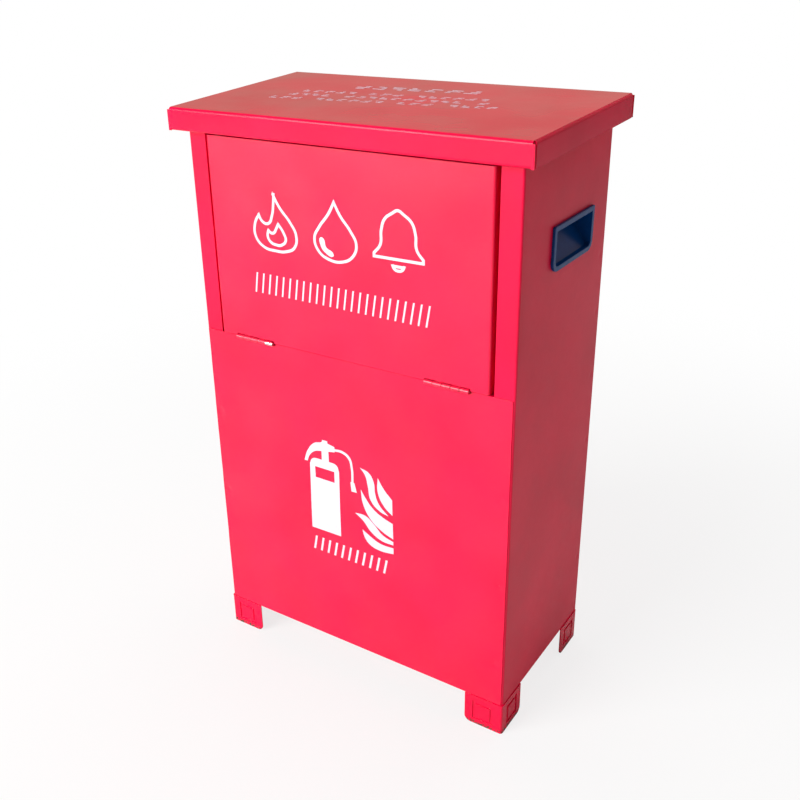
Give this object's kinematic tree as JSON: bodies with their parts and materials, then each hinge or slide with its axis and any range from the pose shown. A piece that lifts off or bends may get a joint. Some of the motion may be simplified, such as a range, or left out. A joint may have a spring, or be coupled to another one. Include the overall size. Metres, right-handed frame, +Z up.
{
  "type": "fire extinguisher cabinet",
  "caption": "Free-standing red sheet-steel floor cabinet for portable fire extinguishers, with a hinged overhanging lid, a drop-down front flap, corner feet and recessed side handles.",
  "frame": {"origin": "on the floor, under the centre of the lid", "axes": "+X to the cabinet's right, -Y towards its front, +Z up"},
  "size_m": [0.344, 0.192, 0.556],
  "materials": {
    "red_enamel": "glossy powder coat with light orange peel",
    "painted_hinge": "painted over, worn to bare metal at the knuckles",
    "pin_steel": "plain wire",
    "blue_plastic": "moulded, satin"
  },
  "bodies": {
    "cabinet": {"side_wall_left": "red_enamel", "side_wall_right": "red_enamel", "back_wall": "red_enamel", "floor_tray": "red_enamel", "lower_front_panel": "red_enamel", "foot_front_left": "red_enamel", "foot_front_right": "red_enamel", "foot_rear_left": "red_enamel", "foot_rear_right": "red_enamel", "handle_left": "blue_plastic", "handle_right": "blue_plastic", "flap_hinge_left_fixed": "painted_hinge", "flap_hinge_left_pin": "pin_steel", "flap_hinge_right_fixed": "painted_hinge", "flap_hinge_right_pin": "pin_steel", "lid_hinge_left_fixed": "painted_hinge", "lid_hinge_left_pin": "pin_steel", "lid_hinge_right_fixed": "painted_hinge", "lid_hinge_right_pin": "pin_steel"},
    "flap": {"flap_panel": "red_enamel", "flap_hinge_left_moving": "painted_hinge", "flap_hinge_right_moving": "painted_hinge"},
    "lid": {"lid_shell": "red_enamel", "lid_hinge_left_moving": "painted_hinge", "lid_hinge_right_moving": "painted_hinge"}
  },
  "joints": [
    {"name": "flap_drop", "type": "hinge", "parent": "cabinet", "child": "flap", "pos_m": [0, -0.087, 0.3476], "axis": [1, 0, 0], "range_deg": [0, 170]},
    {"name": "lid_lift", "type": "hinge", "parent": "cabinet", "child": "lid", "pos_m": [0, 0.0938, 0.5334], "axis": [-1, 0, 0], "range_deg": [0, 110]}
  ]
}
